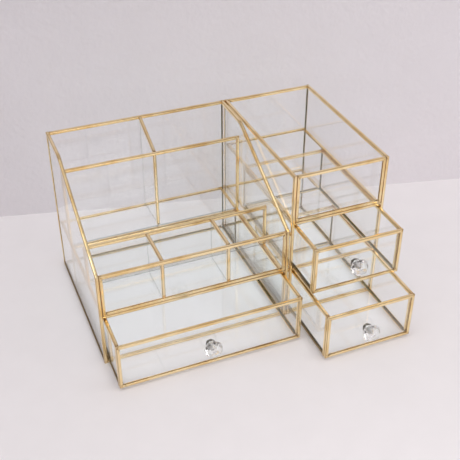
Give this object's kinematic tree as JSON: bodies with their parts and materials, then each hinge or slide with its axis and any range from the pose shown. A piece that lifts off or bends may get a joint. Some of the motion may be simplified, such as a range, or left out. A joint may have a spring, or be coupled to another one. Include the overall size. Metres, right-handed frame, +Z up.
{
  "type": "glass jewelry and vanity organiser",
  "caption": "Clear glass jewelry and vanity organiser edged in brass, with stepped open rows over a wide drawer, beside a tray on stacked drawers with crystal knobs.",
  "frame": {"origin": "centre of the footprint, with the drawers as stored, on the surface it stands on", "axes": "+X from the stepped section to the tower, -Y the way the drawers open, +Z up"},
  "size_m": [0.3198, 0.2846, 0.1791],
  "materials": {
    "sheet_glass": "clear polished sheet with ground edges",
    "brass_strip": "rolled strip, soft sheen with light tarnish near the joints",
    "solder": "brass-plated solder, darker and lumpy",
    "cut_crystal": "clear cut crystal, polished facets",
    "knob_collar": "thin turned base ring, nickel plated",
    "knob_screw": "zinc plated screw and washer"
  },
  "bodies": {
    "case": {"back_row_divider_frame": "brass_strip", "back_row_divider_glass": "sheet_glass", "back_row_panel_frame": "brass_strip", "back_row_panel_glass": "sheet_glass", "front_row_dividers_frame": "brass_strip", "front_row_dividers_glass": "sheet_glass", "front_row_panel_frame": "brass_strip", "front_row_panel_glass": "sheet_glass", "middle_row_panel_frame": "brass_strip", "middle_row_panel_glass": "sheet_glass", "solder_bridges": "solder", "stepped_back_frame": "brass_strip", "stepped_back_glass": "sheet_glass", "stepped_bottom_frame": "brass_strip", "stepped_bottom_glass": "sheet_glass", "stepped_inner_side_frame": "brass_strip", "stepped_inner_side_glass": "sheet_glass", "stepped_outer_side_frame": "brass_strip", "stepped_outer_side_glass": "sheet_glass", "stepped_shelf_frame": "brass_strip", "stepped_shelf_glass": "sheet_glass", "tower_back_frame": "brass_strip", "tower_back_glass": "sheet_glass", "tower_bottom_frame": "brass_strip", "tower_bottom_glass": "sheet_glass", "tower_inner_side_frame": "brass_strip", "tower_inner_side_glass": "sheet_glass", "tower_outer_side_frame": "brass_strip", "tower_outer_side_glass": "sheet_glass", "tower_shelf_frame": "brass_strip", "tower_shelf_glass": "sheet_glass", "tray_floor_frame": "brass_strip", "tray_floor_glass": "sheet_glass", "tray_front_frame": "brass_strip", "tray_front_glass": "sheet_glass"},
    "wide_drawer": {"wide_drawer_back_glass": "sheet_glass", "wide_drawer_bottom_glass": "sheet_glass", "wide_drawer_frame": "brass_strip", "wide_drawer_front_glass": "sheet_glass", "wide_drawer_knob_collar": "knob_collar", "wide_drawer_knob_crystal": "cut_crystal", "wide_drawer_knob_screw": "knob_screw", "wide_drawer_side_glass": "sheet_glass"},
    "upper_drawer": {"upper_drawer_back_glass": "sheet_glass", "upper_drawer_bottom_glass": "sheet_glass", "upper_drawer_frame": "brass_strip", "upper_drawer_front_glass": "sheet_glass", "upper_drawer_knob_collar": "knob_collar", "upper_drawer_knob_crystal": "cut_crystal", "upper_drawer_knob_screw": "knob_screw", "upper_drawer_side_glass": "sheet_glass"},
    "lower_drawer": {"lower_drawer_back_glass": "sheet_glass", "lower_drawer_bottom_glass": "sheet_glass", "lower_drawer_frame": "brass_strip", "lower_drawer_front_glass": "sheet_glass", "lower_drawer_knob_collar": "knob_collar", "lower_drawer_knob_crystal": "cut_crystal", "lower_drawer_knob_screw": "knob_screw", "lower_drawer_side_glass": "sheet_glass"}
  },
  "joints": [
    {"name": "wide_drawer_slide", "type": "slide", "parent": "case", "child": "wide_drawer", "axis": [0, -1, 0], "range_m": [-0.0444, 0.09]},
    {"name": "upper_drawer_slide", "type": "slide", "parent": "case", "child": "upper_drawer", "axis": [0, -1, 0], "range_m": [-0.0472, 0.087]},
    {"name": "lower_drawer_slide", "type": "slide", "parent": "case", "child": "lower_drawer", "axis": [0, -1, 0], "range_m": [-0.0834, 0.05]}
  ]
}
